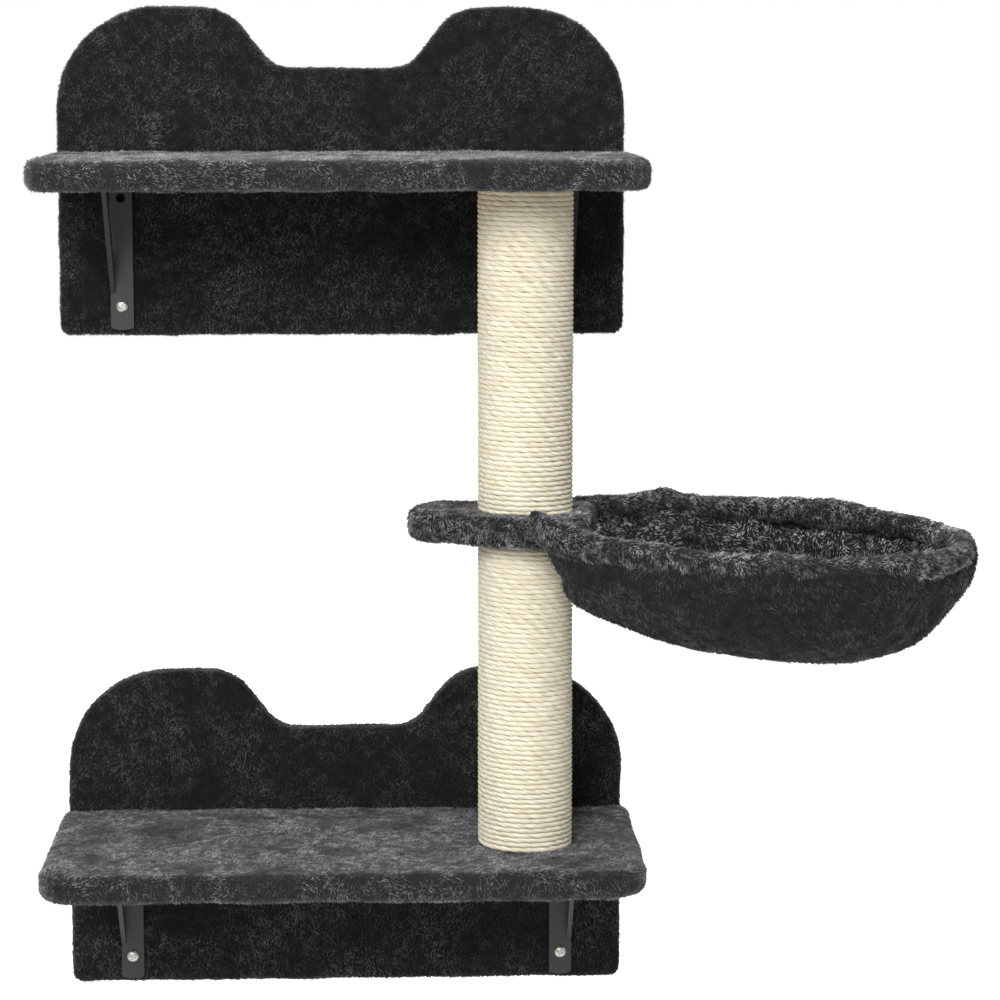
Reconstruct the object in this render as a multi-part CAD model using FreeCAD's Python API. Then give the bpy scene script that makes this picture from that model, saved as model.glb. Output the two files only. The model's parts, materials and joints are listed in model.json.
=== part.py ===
import FreeCAD, Part
import math
import os

from FreeCAD import Placement, Rotation, Vector

# Wall mounted cat tree: two identical tiers, each a plush covered wall board with a plush
# covered shelf on two steel brackets, a sisal post between the tiers, and a wire hoop hammock
# on a plate that is clamped in the middle of the post and swivels round it.
#
# Millimetres. +Z is up, +X is to the right as seen from the room, the wall is the plane Y = 0
# and the tree stands in -Y. The origin is the middle of the four wall screw holes, on the wall.

# ---------------------------------------------------------------- boards and plush
plush_t = 5.5                  # pile and backing, where nothing presses on it
pressed_plush_t = 2.0          # the same plush clamped under a post
seat_gap = 0.3                 # between a soft cover and what it lies on
lap_gap = 1.0                  # the wall board's cover stops this far from the wall

board_width = 500.0            # sizes of the wall board are taken over the plush
board_core_t = 16.0
hump_height = 126.0            # top of the ears above the shelf's top
dip_height = 73.0              # floor of the dip above the shelf's top
skirt_height = 163.0           # bottom of the board below the shelf's top
hump_outer_r = 90.0
hump_shoulder_r = 48.0
hump_flank_angle = 52.0
valley_r = 28.0
valley_half_width = 45.0
board_corner_r = 10.0
board_edge_r = 6.5             # rounding of the plush along the front edge

shelf_overhang = 6.0           # each end of a shelf past the wall board's side, over the plush
shelf_depth = 240.0            # from the wall board's face to the front, over the plush
shelf_core_t = 16.0
shelf_corner_r = 38.0
shelf_edge_r = 9.0
shelf_lap = 28.0               # plush turned in under the shelf and stapled

tier_pitch = 590.0             # from the lower shelf's top to the upper shelf's top

# ---------------------------------------------------------------- brackets
bracket_inset = 56.0           # bracket's centre from the wall board's side
strip_w = 20.0
strip_t = 3.0
bend_r = 3.0
leg_length = 135.5             # from the shelf's underside to the tip of the wall leg
arm_length = 100.0             # from the leg's back to the tip of the arm
strut_t = 4.0
strut_depth = 14.0
leg_end_bow = 1.8              # height of the shallow arc that ends the leg
leg_end_r = 2.0
strut_leg_drop = 105.0         # lower end of the strut below the shelf's underside
strut_arm_reach = 91.0         # front end of the strut from the leg's back
wall_hole_r = 4.0
wall_hole_drop = 19.5          # below the shelf's underside
leg_screw_drop = 114.5         # below the shelf's underside
arm_screw_reach = (34.0, 78.0)  # from the leg's back

# ---------------------------------------------------------------- screws
screw_shank_r = 2.1
screw_clearance = 0.1
leg_screw_head_r = 5.5
leg_screw_head_h = 3.4
leg_screw_length = 22.0
arm_screw_head_r = 4.4
arm_screw_head_h = 2.6
arm_screw_length = 15.0
screw_tip = 3.5
pilot_past_tip = 1.0           # pilot holes go this far past the screws' tips

# ---------------------------------------------------------------- post
post_x = 156.0                 # post's axis from the board's centre
post_from_wall = 148.0
post_d = 81.0                  # over the rope
rope_d = 4.2
rope_gap = 0.15
rope_end_r = 1.8
tube_wall = 5.0
plug_t = 20.0
plug_gap = 0.15

stud_r = 4.0                   # all the post's bolts are M8
stud_hole_r = 4.4
thread_gap = 0.1
nut_flats = 13.0
nut_t = 6.5
nut_gap = 0.2
stud_past_nut = 4.0
washer_r = 12.0
washer_t = 2.0
bolt_head_t = 5.3
sunk_head_r = 8.5
sunk_head_t = 4.0

# ---------------------------------------------------------------- hammock plate
plate_height = 276.8           # middle of the plate above the lower shelf's top
plate_core_t = 15.4
plate_plush_t = 6.0
plate_edge_r = 9.0
plate_nose_x = 56.0            # the nose circle's centre, to the left of the post's axis
plate_nose_r = 46.0
plate_corner_x = 15.0          # the two corner circles' centres, to the right of the axis
plate_corner_y = 26.0
plate_corner_r = 44.0
pivot_gap = 0.08
run_gap = 0.3

# ---------------------------------------------------------------- hammock
swing = 10.0                   # the hammock is swung forward of the board's direction
droop = 2.3                    # and hangs down towards its tip
roll = 1.2                     # with its front side a little lower
wire_r = 3.0
wire_gap = 0.15
wire_socket_start = 6.0        # inner end of the wire, from the corner circle's centre
wire_exit_angle = 70.0
wire_exit_run = 3.0
wire_bend_r = 50.0
wire_side_angle = 40.0
hoop_half_width = 145.0
hoop_reach = 371.0             # from the post's axis to the hoop's tip
hoop_shoulder_angle = 55.2     # where the hoop's shoulders pass into its tip
casing_r = 11.5
pouch_depth = 98.5             # from the hoop's plane to the underside of the pouch
pouch_wall = 4.0
pouch_low_x = 262.0            # the deepest place, from the post's axis
pouch_left_x = 50.0
pouch_throat_r = 62.0          # the pouch's end passes round the post on this radius
lock_screw_r = 1.6
lock_screw_head_r = 3.4
lock_screw_head_h = 2.0
lock_screw_length = 12.0
lock_screw_place = 14.0        # along the wire from its inner end

# How full the pouch is at each share of its depth: a power of 2 gives an ellipse, and a higher
# one a squarer side.
pouch_shares = (0.0, 0.2, 0.42, 0.64, 0.83, 0.96)
pouch_across_power = 2.2
pouch_left_power = 2.6
pouch_right_power = 2.1
pouch_gather_share = 0.45      # the end leaves the plate's corners within this share of the depth
pouch_corner_inset = 0.22      # the end's corners, along the pouch, and across it
pouch_corner_width = 0.62
pouch_shoulder_width = 0.76    # fullness of the four rounded shoulders between end, side and tip
pouch_turn_reach = 0.735
pouch_turn_width = 0.70

# ---------------------------------------------------------------- worked out from the above
board_face = -(board_core_t + plush_t)
shelf_top = {"lower": -tier_pitch / 2 + plush_t + shelf_core_t + wall_hole_drop,
             "upper": tier_pitch / 2 + plush_t + shelf_core_t + wall_hole_drop}
leg_back = board_face - seat_gap
bracket_x = board_width / 2 - bracket_inset
screw_hole_r = screw_shank_r + 2 * screw_clearance   # in the brackets
pilot_r = screw_shank_r + screw_clearance            # in the wood
post_r = post_d / 2
tube_r = post_r - rope_d
plug_r = tube_r - tube_wall - plug_gap
post_axis = Vector(post_x, -post_from_wall, 0)
plate_z = shelf_top["lower"] + plate_height
clamp_half = plate_core_t / 2 + pressed_plush_t + run_gap
post_span = {
    "lower": (shelf_top["lower"] - plush_t + pressed_plush_t + seat_gap, plate_z - clamp_half),
    "upper": (plate_z + clamp_half, shelf_top["upper"] - plush_t - shelf_core_t)}

X = Vector(1, 0, 0)
Y = Vector(0, 1, 0)
Z = Vector(0, 0, 1)


def shelf_underside(tier):
    return shelf_top[tier] - plush_t - shelf_core_t


# ---------------------------------------------------------------- drawing helpers
def line(a, b):
    return Part.LineSegment(a, b).toShape()


def arc(centre, radius, start, end, u, v):
    """An arc about a centre, between two angles in degrees, in the plane of u and v."""
    def point(angle):
        a = math.radians(angle)
        return centre + u * (radius * math.cos(a)) + v * (radius * math.sin(a))
    return Part.Arc(point(start), point((start + end) / 2), point(end)).toShape()


def closed(edges):
    return Part.Wire(Part.sortEdges(edges)[0])


def prism(wire, vector):
    return Part.Face(wire).extrude(vector)


def cylinder(radius, start, end):
    return Part.makeCylinder(radius, (end - start).Length, start, end - start)


def ring(outer_r, inner_r, start, end):
    return cylinder(outer_r, start, end).cut(cylinder(inner_r, start, end))


def hexagon(flats, start, end):
    """A hexagonal bar across its flats."""
    radius = flats / math.sqrt(3)
    corners = [start + X * (radius * math.cos(math.radians(a))) + Y * (radius * math.sin(math.radians(a)))
               for a in range(0, 361, 60)]
    return prism(Part.makePolygon(corners), end - start)


def pan_screw(seat, inward, shank_r, length, head_r, head_h):
    """A pan head screw whose head sits on a surface at seat and whose shank points inward."""
    rim = 0.35 * head_h
    crown_r = 0.3 * head_r
    shank = Part.makeCylinder(shank_r, length - screw_tip)
    tip = Part.makeCone(shank_r, shank_r / 5, screw_tip, Vector(0, 0, length - screw_tip))
    side = [Vector(crown_r, 0, -head_h), Vector(0, 0, -head_h), Vector(0, 0, 0), Vector(head_r, 0, 0),
            Vector(head_r, 0, -rim)]
    crown = Part.Arc(side[-1], Vector(0.76 * head_r, 0, -0.82 * head_h), side[0]).toShape()
    outline = [line(a, b) for a, b in zip(side, side[1:])] + [crown]
    head = Part.Face(closed(outline)).revolve(Vector(0, 0, 0), Z, 360)
    screw = shank.fuse(tip).fuse(head)
    screw.Placement = Placement(seat, Rotation(Z, inward))
    return screw


def save(name, shape):
    shape.exportStep("parts/" + name + ".step")
    volume = round(shape.Volume / 1000, 2)
    print(name, "solids", len(shape.Solids), "volume", volume, "valid", shape.isValid())


# ---------------------------------------------------------------- wall boards
def board_outline(tier, inset, y):
    """The board's outline: two round ears, a dip between them and small lower corners."""
    flank = math.radians(hump_flank_angle)
    outer = Vector(board_width / 2 - hump_outer_r, y, hump_height - hump_outer_r)
    valley = Vector(valley_half_width, y, dip_height + valley_r)
    shoulder_z = hump_height - hump_shoulder_r
    flank_drop = shoulder_z - valley.z + (hump_shoulder_r + valley_r) * math.cos(flank)
    shoulder_x = (valley.x + (hump_shoulder_r + valley_r) * math.sin(flank)
                  + flank_drop / math.tan(flank))
    shoulder = Vector(shoulder_x, y, shoulder_z)
    corner = Vector(board_width / 2 - board_corner_r, y, board_corner_r - skirt_height)
    edges = []
    for side in (1, -1):
        def at(centre, radius, angle):
            a = math.radians(angle)
            return Vector(side * (centre.x + radius * math.cos(a)), y,
                          shelf_top[tier] + centre.z + radius * math.sin(a))

        def bow(centre, radius, start, end):
            return Part.Arc(at(centre, radius, start), at(centre, radius, (start + end) / 2),
                            at(centre, radius, end)).toShape()

        corner_r = board_corner_r - inset
        outer_r = hump_outer_r - inset
        shoulder_r = hump_shoulder_r - inset
        floor_r = valley_r + inset
        lean = 90 + hump_flank_angle
        edges += [line(Vector(0, y, shelf_top[tier] - skirt_height + inset), at(corner, corner_r, -90)),
                  bow(corner, corner_r, -90, 0),
                  line(at(corner, corner_r, 0), at(outer, outer_r, 0)),
                  bow(outer, outer_r, 0, 90),
                  line(at(outer, outer_r, 90), at(shoulder, shoulder_r, 90)),
                  bow(shoulder, shoulder_r, 90, lean),
                  line(at(shoulder, shoulder_r, lean), at(valley, floor_r, lean - 180)),
                  bow(valley, floor_r, lean - 180, -90),
                  line(at(valley, floor_r, -90), Vector(0, y, shelf_top[tier] + dip_height - inset))]
    return closed(edges)


def bracket_holes(tier):
    """Where the wall screws and the leg screws pass, as (x, z, radius)."""
    z = shelf_underside(tier)
    return [(side * bracket_x, z - drop, radius)
            for side in (-1, 1)
            for drop, radius in ((wall_hole_drop, wall_hole_r), (leg_screw_drop, screw_hole_r))]


def wall_board(tier):
    board = prism(board_outline(tier, plush_t, 0), -Y * board_core_t)
    for x, z, radius in bracket_holes(tier):
        if radius == wall_hole_r:
            board = board.cut(cylinder(radius, Vector(x, 1, z), Vector(x, -board_core_t - 1, z)))
        else:
            pilot_end = leg_back - strip_t + leg_screw_length + pilot_past_tip
            board = board.cut(cylinder(pilot_r, Vector(x, -board_core_t - 1, z), Vector(x, pilot_end, z)))
    return board


def wall_board_cover(tier):
    cover = prism(board_outline(tier, 0, -lap_gap), Y * (board_face + lap_gap))
    front = [edge for edge in cover.Edges
             if all(abs(v.Point.y - board_face) < 1e-6 for v in edge.Vertexes)]
    cover = cover.makeFillet(board_edge_r, front)
    cover = cover.cut(prism(board_outline(tier, plush_t - seat_gap, 0), -Y * (board_core_t + seat_gap)))
    for x, z, radius in bracket_holes(tier):
        cover = cover.cut(cylinder(radius, Vector(x, 0, z), Vector(x, board_face - 1, z)))
    return cover


# ---------------------------------------------------------------- shelves
def shelf_outline(inset, back, z):
    """A shelf seen from above: a straight back and two rounded front corners."""
    half = board_width / 2 + shelf_overhang - inset
    front = board_face - shelf_depth + inset
    radius = shelf_corner_r - inset
    edges = [line(Vector(-half, back, z), Vector(half, back, z)),
             line(Vector(-(half - radius), front, z), Vector(half - radius, front, z))]
    for side, start, end in ((1, -90, 0), (-1, 180, 270)):
        edges += [line(Vector(side * half, back, z), Vector(side * half, front + radius, z)),
                  arc(Vector(side * (half - radius), front + radius, z), radius, start, end, X, Y)]
    return closed(edges)


def shelf_board(tier):
    back = board_face - seat_gap
    underside = shelf_underside(tier)
    board = prism(shelf_outline(plush_t, back, underside), Z * shelf_core_t)
    for x, y in arm_screw_places():
        pilot_end = underside - strip_t + arm_screw_length + pilot_past_tip
        board = board.cut(cylinder(pilot_r, Vector(x, y, underside - 1), Vector(x, y, pilot_end)))
    axis = Vector(post_axis)
    top = underside + shelf_core_t
    board = board.cut(cylinder(stud_hole_r, axis + Z * (underside - 1), axis + Z * (top + 1)))
    if tier == "upper":
        recess = cylinder(sunk_head_r + nut_gap, axis + Z * (top - sunk_head_t), axis + Z * (top + 1))
        board = board.cut(recess)
    return board


def shelf_cover(tier):
    back = board_face - seat_gap
    top = shelf_top[tier]
    total = shelf_core_t + 2 * plush_t
    cover = prism(shelf_outline(0, back, top - total), Z * total)
    rims = [edge for edge in cover.Edges
            if abs(edge.Vertexes[0].Point.z - edge.Vertexes[-1].Point.z) < 1e-6
            and not all(abs(v.Point.y - back) < 1e-6 for v in edge.Vertexes)]
    cover = cover.makeFillet(shelf_edge_r, rims)
    past = back + 1
    cavity = prism(shelf_outline(plush_t - seat_gap, past, top - plush_t - shelf_core_t - seat_gap),
                   Z * (shelf_core_t + 2 * seat_gap))
    window = prism(shelf_outline(plush_t + shelf_lap, past, top - total - 1), Z * (plush_t + 2))
    cover = cover.cut(cavity).cut(window)
    if tier == "lower":
        axis = Vector(post_axis)
        pressed = top - plush_t + pressed_plush_t
        cover = cover.cut(cylinder(post_r + seat_gap, axis + Z * pressed, axis + Z * (top + 1)))
        cover = cover.cut(cylinder(stud_hole_r, axis + Z * (top - total), axis + Z * (top + 1)))
    return cover


# ---------------------------------------------------------------- brackets
def arm_screw_places():
    return [(side * bracket_x, leg_back - reach) for side in (-1, 1) for reach in arm_screw_reach]


def strut_profile(x, z):
    """The strut's side view, with both ends run into the strip so that it joins it."""
    foot = Vector(x, leg_back - strip_t / 2, z - strut_leg_drop)
    head = Vector(x, leg_back - strut_arm_reach, z - strip_t / 2)
    along = (head - foot).normalize()
    inward = Vector(0, -along.z, along.y) * -1
    if inward.z < 0:
        inward = inward * -1
    foot_in = foot + inward * strut_depth
    foot_in = foot_in + along * ((foot.y - foot_in.y) / along.y)
    head_in = head + inward * strut_depth
    head_in = head_in + along * ((head.z - head_in.z) / along.z)
    return Part.makePolygon([foot, head, head_in, foot_in, foot])


def leg_end_shape(centre, z):
    """Everything above the leg's shallow rounded end, as wide as the strip."""
    half = strip_w / 2
    front = leg_back - arm_length - 1
    low, high = z - leg_length, z + 1
    corner = low + leg_end_bow
    edges = [Part.Arc(Vector(centre - half, front, corner), Vector(centre, front, low),
                      Vector(centre + half, front, corner)).toShape(),
             line(Vector(centre + half, front, corner), Vector(centre + half, front, high)),
             line(Vector(centre + half, front, high), Vector(centre - half, front, high)),
             line(Vector(centre - half, front, high), Vector(centre - half, front, corner))]
    block = prism(closed(edges), Y * (arm_length + 2))
    corners = [edge for edge in block.Edges
               if all(abs(v.Point.z - corner) < 1e-6 for v in edge.Vertexes)
               and abs(edge.Vertexes[0].Point.x - edge.Vertexes[-1].Point.x) < 1e-6]
    return block.makeFillet(leg_end_r, corners)


def bracket(tier, side):
    """A strip bent to an L, with a thin strut welded along its outer edge."""
    z = shelf_underside(tier)
    x0 = side * bracket_x - strip_w / 2
    half = strip_w / 2
    leg_end = z - leg_length
    arm_end = leg_back - arm_length + half
    bend_y = leg_back - strip_t - bend_r
    bend_z = z - strip_t - bend_r
    bend = Vector(x0, bend_y, bend_z)
    profile = [line(Vector(x0, leg_back, leg_end), Vector(x0, leg_back, bend_z)),
               arc(bend, bend_r + strip_t, 0, 90, Y, Z),
               line(Vector(x0, bend_y, z), Vector(x0, arm_end, z)),
               line(Vector(x0, arm_end, z), Vector(x0, arm_end, z - strip_t)),
               line(Vector(x0, arm_end, z - strip_t), Vector(x0, bend_y, z - strip_t)),
               arc(bend, bend_r, 90, 0, Y, Z),
               line(Vector(x0, leg_back - strip_t, bend_z), Vector(x0, leg_back - strip_t, leg_end)),
               line(Vector(x0, leg_back - strip_t, leg_end), Vector(x0, leg_back, leg_end))]
    strip = prism(closed(profile), X * strip_w)
    centre = side * bracket_x
    strip = strip.fuse(cylinder(half, Vector(centre, arm_end, z - strip_t), Vector(centre, arm_end, z)))
    strip = strip.common(leg_end_shape(centre, z))
    strut_x = side * (bracket_x + half) - (strut_t if side > 0 else 0)
    strip = strip.fuse(prism(strut_profile(strut_x, z), X * strut_t)).removeSplitter()
    for x, hole_z, radius in bracket_holes(tier):
        front = Vector(x, leg_back - strip_t - 1, hole_z)
        strip = strip.cut(cylinder(radius, front, Vector(x, leg_back + 1, hole_z)))
    for x, y in arm_screw_places():
        strip = strip.cut(cylinder(screw_hole_r, Vector(x, y, z + 1), Vector(x, y, z - strip_t - 1)))
    return strip


def leg_screws(tier):
    z = shelf_underside(tier) - leg_screw_drop
    return Part.makeCompound([pan_screw(Vector(side * bracket_x, leg_back - strip_t, z), Y, screw_shank_r,
                                        leg_screw_length, leg_screw_head_r, leg_screw_head_h)
                              for side in (-1, 1)])


def shelf_screws(tier):
    z = shelf_underside(tier) - strip_t
    return Part.makeCompound([pan_screw(Vector(x, y, z), Z, screw_shank_r, arm_screw_length,
                                        arm_screw_head_r, arm_screw_head_h)
                              for x, y in arm_screw_places()])


# ---------------------------------------------------------------- post
def post_tube(tier):
    low, high = post_span[tier]
    return ring(tube_r, tube_r - tube_wall, post_axis + Z * low, post_axis + Z * high)


def post_rope(tier):
    low, high = post_span[tier]
    sleeve = ring(post_r, tube_r + rope_gap, post_axis + Z * low, post_axis + Z * high)
    rims = [edge for edge in sleeve.Edges
            if isinstance(edge.Curve, Part.Circle) and abs(edge.Curve.Radius - post_r) < 1e-6]
    return sleeve.makeFillet(rope_end_r, rims)


def post_ends():
    """The four ends of the two posts, as (name, height of the end, direction into the post)."""
    return [("lower_post_bottom_plug", post_span["lower"][0], Z),
            ("lower_post_top_plug", post_span["lower"][1], -Z),
            ("upper_post_bottom_plug", post_span["upper"][0], Z),
            ("upper_post_top_plug", post_span["upper"][1], -Z)]


def post_plug(end_z, inward):
    """A moulded plug, flush with the tube's end, with a pocket for a nut in its inner face."""
    end = post_axis + Z * end_z
    plug = cylinder(plug_r, end, end + inward * plug_t)
    plug = plug.cut(cylinder(stud_hole_r, end, end + inward * plug_t))
    return plug.cut(hexagon(nut_flats + 2 * nut_gap, end + inward * (plug_t - nut_t), end + inward * plug_t))


def post_nuts():
    nuts = []
    for _, end_z, inward in post_ends():
        base = post_axis + Z * end_z + inward * (plug_t - nut_t)
        nut = hexagon(nut_flats, base, base + inward * nut_t)
        nuts.append(nut.cut(cylinder(stud_r + thread_gap, base, base + inward * nut_t)))
    return Part.makeCompound(nuts)


def joining_stud():
    """The threaded rod that clamps the hammock's plate between the posts, and its pivot."""
    reach = plug_t + stud_past_nut
    return cylinder(stud_r, post_axis + Z * (post_span["lower"][1] - reach),
                    post_axis + Z * (post_span["upper"][0] + reach))


def lower_post_bolt():
    seat = post_axis + Z * (shelf_underside("lower") - washer_t)
    shank = cylinder(stud_r, seat, post_axis + Z * (post_span["lower"][0] + plug_t + stud_past_nut))
    return hexagon(nut_flats, seat - Z * bolt_head_t, seat).fuse(shank)


def lower_post_washer():
    underside = shelf_underside("lower")
    return ring(washer_r, stud_hole_r, post_axis + Z * (underside - washer_t), post_axis + Z * underside)


def upper_post_bolt():
    """A flat head sunk in the shelf's top, under the plush."""
    top = shelf_underside("upper") + shelf_core_t
    head = cylinder(sunk_head_r, post_axis + Z * (top - sunk_head_t), post_axis + Z * top)
    tip = post_axis + Z * (post_span["upper"][1] - plug_t - stud_past_nut)
    return head.fuse(cylinder(stud_r, tip, post_axis + Z * top))


# ---------------------------------------------------------------- hammock, about the post's axis
# These shapes are drawn with the post's axis as Z, the plate's middle at Z = 0 and the hoop
# pointing along +X, and are then swung and lifted to their place.
def in_place(shape):
    shape.Placement = Placement(post_axis + Z * plate_z, Rotation(Z, -swing)).multiply(shape.Placement)
    return shape


def tilted(shape):
    tilt = Rotation(Y, droop).multiply(Rotation(X, roll))
    shape.Placement = Placement(Vector(0, 0, 0), tilt).multiply(shape.Placement)
    return shape


def plate_outline(inset, z):
    """A nose circle and two corner circles, joined by their outer tangents."""
    nose = Vector(-plate_nose_x, 0, z)
    nose_r = plate_nose_r - inset
    corner_r = plate_corner_r - inset
    span = Vector(plate_corner_x, plate_corner_y, z) - nose
    lean = math.degrees(math.atan2(span.y, span.x) + math.acos((nose_r - corner_r) / span.Length))
    edges = [arc(nose, nose_r, lean, 360 - lean, X, Y),
             line(Vector(plate_corner_x + corner_r, -plate_corner_y, z),
                  Vector(plate_corner_x + corner_r, plate_corner_y, z))]
    for side in (1, -1):
        corner = Vector(plate_corner_x, side * plate_corner_y, z)
        direction = Vector(math.cos(math.radians(lean)), side * math.sin(math.radians(lean)), 0)
        edges += [arc(corner, corner_r, 0, side * lean, X, Y),
                  line(nose + direction * nose_r, corner + direction * corner_r)]
    return closed(edges)


def socket_line(side):
    """The centre of a corner circle and the direction in which its wire leaves the plate."""
    angle = math.radians(wire_exit_angle)
    out = Vector(math.cos(angle), side * math.sin(angle), 0)
    return Vector(plate_corner_x, side * plate_corner_y, 0), out


def wire_path(side, start):
    """One half of the hoop, from a place on its straight end to the middle of its tip."""
    corner, out = socket_line(side)
    exit_angle = math.radians(wire_exit_angle)
    side_angle = math.radians(wire_side_angle)
    exit_point = corner + out * (plate_corner_r + wire_exit_run)

    def on(centre_x, centre_y, radius, angle):
        a = math.radians(angle)
        return Vector(centre_x + radius * math.cos(a), side * (centre_y + radius * math.sin(a)), 0)

    bend_x = exit_point.x + wire_bend_r * math.sin(exit_angle)
    bend_y = side * exit_point.y - wire_bend_r * math.cos(exit_angle)
    bend_end = on(bend_x, bend_y, wire_bend_r, 90 + wire_side_angle)
    side_r = (hoop_half_width - side * bend_end.y) / (1 - math.cos(side_angle))
    wide_x = bend_end.x + side_r * math.sin(side_angle)
    run = hoop_reach - wide_x
    meet = hoop_shoulder_angle
    across, along = math.sin(math.radians(meet)), math.cos(math.radians(meet))
    difference = (run - hoop_half_width) / (across + along - 1)
    shoulder_r = hoop_half_width + difference * across
    tip_r = run - difference * along

    def bow(centre_x, centre_y, radius, begin, end):
        points = [on(centre_x, centre_y, radius, angle) for angle in (begin, (begin + end) / 2, end)]
        return Part.Arc(*points).toShape()

    return [line(corner + out * start, exit_point),
            bow(bend_x, bend_y, wire_bend_r, 90 + wire_exit_angle, 90 + wire_side_angle),
            bow(wide_x, hoop_half_width - side_r, side_r, 90 + wire_side_angle, 90),
            bow(wide_x, hoop_half_width - shoulder_r, shoulder_r, 90, meet),
            bow(hoop_reach - tip_r, 0, tip_r, meet, 0)]


def pipe(radius, start):
    """A round bar of one radius along the whole hoop, in straight and ring shaped lengths."""
    lengths = []
    for edge in wire_path(1, start) + wire_path(-1, start):
        first, last = edge.ParameterRange
        end = Part.Face(Part.Wire(Part.makeCircle(radius, edge.valueAt(first), edge.tangentAt(first))))
        if isinstance(edge.Curve, Part.Circle):
            lengths.append(end.revolve(edge.Curve.Center, edge.Curve.Axis, math.degrees(last - first)))
        else:
            lengths.append(end.extrude(edge.valueAt(last) - edge.valueAt(first)))
    return lengths[0].fuse(lengths[1:])


def lock_screw_points():
    """The seats of the two screws, under the plate's core and below the wire's ends."""
    points = []
    for side in (1, -1):
        corner, out = socket_line(side)
        points.append(corner + out * (wire_socket_start + lock_screw_place) - Z * (plate_core_t / 2))
    return points


def hammock_plate():
    plate = prism(plate_outline(plate_plush_t, -plate_core_t / 2), Z * plate_core_t)
    plate = plate.cut(cylinder(stud_r + pivot_gap, -Z * plate_core_t, Z * plate_core_t))
    for side in (1, -1):
        first = wire_path(side, wire_socket_start - 1)[0]
        socket = cylinder(wire_r + wire_gap, first.Vertexes[0].Point, first.Vertexes[1].Point)
        plate = plate.cut(tilted(socket))
    for point in lock_screw_points():
        pilot_end = point + Z * (lock_screw_length + pilot_past_tip)
        plate = plate.cut(cylinder(lock_screw_r + screw_clearance, point, pilot_end))
    return in_place(plate)


def hammock_plate_cover():
    half = plate_core_t / 2 + plate_plush_t
    cover = prism(plate_outline(0, -half), Z * 2 * half)
    rims = [edge for edge in cover.Edges
            if abs(edge.Vertexes[0].Point.z - edge.Vertexes[-1].Point.z) < 1e-6]
    cover = cover.makeFillet(plate_edge_r, rims)
    inner = plate_core_t / 2 + seat_gap
    cover = cover.cut(prism(plate_outline(plate_plush_t - seat_gap, -inner), Z * 2 * inner))
    for way in (1, -1):
        pressed = Z * (way * (plate_core_t / 2 + pressed_plush_t))
        cover = cover.cut(cylinder(post_r + seat_gap, pressed, Z * (way * (half + 1))))
    cover = cover.cut(cylinder(stud_hole_r, -Z * (half + 1), Z * (half + 1)))
    for side in (1, -1):
        first = wire_path(side, wire_socket_start)[0]
        socket = cylinder(wire_r + seat_gap, first.Vertexes[0].Point, first.Vertexes[1].Point)
        cover = cover.cut(tilted(socket))
    for point in lock_screw_points():
        cover = cover.cut(cylinder(lock_screw_head_r + seat_gap, point - Z * (plate_plush_t + 1), point))
    return in_place(cover)


def hammock_hoop():
    hoop = tilted(pipe(wire_r, wire_socket_start))
    for point in lock_screw_points():
        hoop = hoop.cut(cylinder(lock_screw_r + screw_clearance, point, point + Z * plate_core_t))
    return in_place(hoop)


def hoop_lock_screws():
    return in_place(Part.makeCompound([pan_screw(point, Z, lock_screw_r, lock_screw_length, lock_screw_head_r,
                                                 lock_screw_head_h) for point in lock_screw_points()]))


def hammock_rim_casing():
    start = plate_corner_r + seat_gap
    return in_place(tilted(pipe(casing_r, start).cut(pipe(wire_r + seat_gap, start))))


def pouch_section(share, depth, inset):
    """The pouch's outline at a share of its depth, drawn in from the hoop's outline."""
    sides = [wire_path(side, plate_corner_r)[2] for side in (1, -1)]
    wide_x = sides[0].Vertexes[-1].Point.x
    corner = wire_path(1, plate_corner_r)[0].Vertexes[-1].Point
    across, left, right = [(1 - share ** power) ** (1 / power)
                           for power in (pouch_across_power, pouch_left_power, pouch_right_power)]
    half = hoop_half_width * across - inset
    tip = pouch_low_x + (hoop_reach - pouch_low_x) * right - inset
    end_x = pouch_low_x - (pouch_low_x - pouch_left_x) * left + inset
    gather = max(0.0, 1 - share / pouch_gather_share) ** 2
    end_x = end_x + (pouch_throat_r - pouch_left_x) * gather
    corner_x = end_x + pouch_corner_inset * (pouch_low_x - end_x) * (1 - gather)
    corner_x = corner_x + (corner.x - corner_x + inset) * gather
    corner_y = half * pouch_corner_width * (1 - gather) + (corner.y - inset) * gather
    middle_x = pouch_low_x + (wide_x - pouch_low_x) * left
    bow_x = (middle_x + corner_x) / 2
    bow_y = corner_y + (half - corner_y) * pouch_shoulder_width
    turn_x = middle_x + (tip - middle_x) * pouch_turn_reach
    turn_y = half * pouch_turn_width
    z = -depth

    def through(a, b, c):
        return Part.Arc(Vector(a[0], a[1], z), Vector(b[0], b[1], z), Vector(c[0], c[1], z)).toShape()

    edges = [through((corner_x, -corner_y), (end_x, 0), (corner_x, corner_y))]
    for side in (1, -1):
        edges += [through((corner_x, side * corner_y), (bow_x, side * bow_y), (middle_x, side * half)),
                  through((middle_x, side * half), (turn_x, side * turn_y), (tip, 0))]
    return closed(edges)


def hammock_pouch():
    """A bag hung under the rim, open at the top, with its end drawn round the post."""
    top = casing_r + seat_gap
    depth = pouch_depth - top
    hollow = depth - pouch_wall
    outer_sections = [pouch_section(s, top + depth * s, -pouch_wall / 2) for s in pouch_shares]
    inner_sections = [pouch_section(s, top + hollow * s, pouch_wall / 2) for s in pouch_shares]
    outer = Part.makeLoft(outer_sections, True, False)
    inner = Part.makeLoft(inner_sections, True, False)
    mouth = prism(inner_sections[0], Z * 2)
    pouch = tilted(outer.cut(inner).cut(mouth))
    half = plate_core_t / 2 + plate_plush_t + seat_gap
    pouch = pouch.cut(prism(plate_outline(-1, -half), Z * 2 * half))
    return in_place(pouch)


# ---------------------------------------------------------------- all the pieces
os.makedirs("parts", exist_ok=True)

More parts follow.
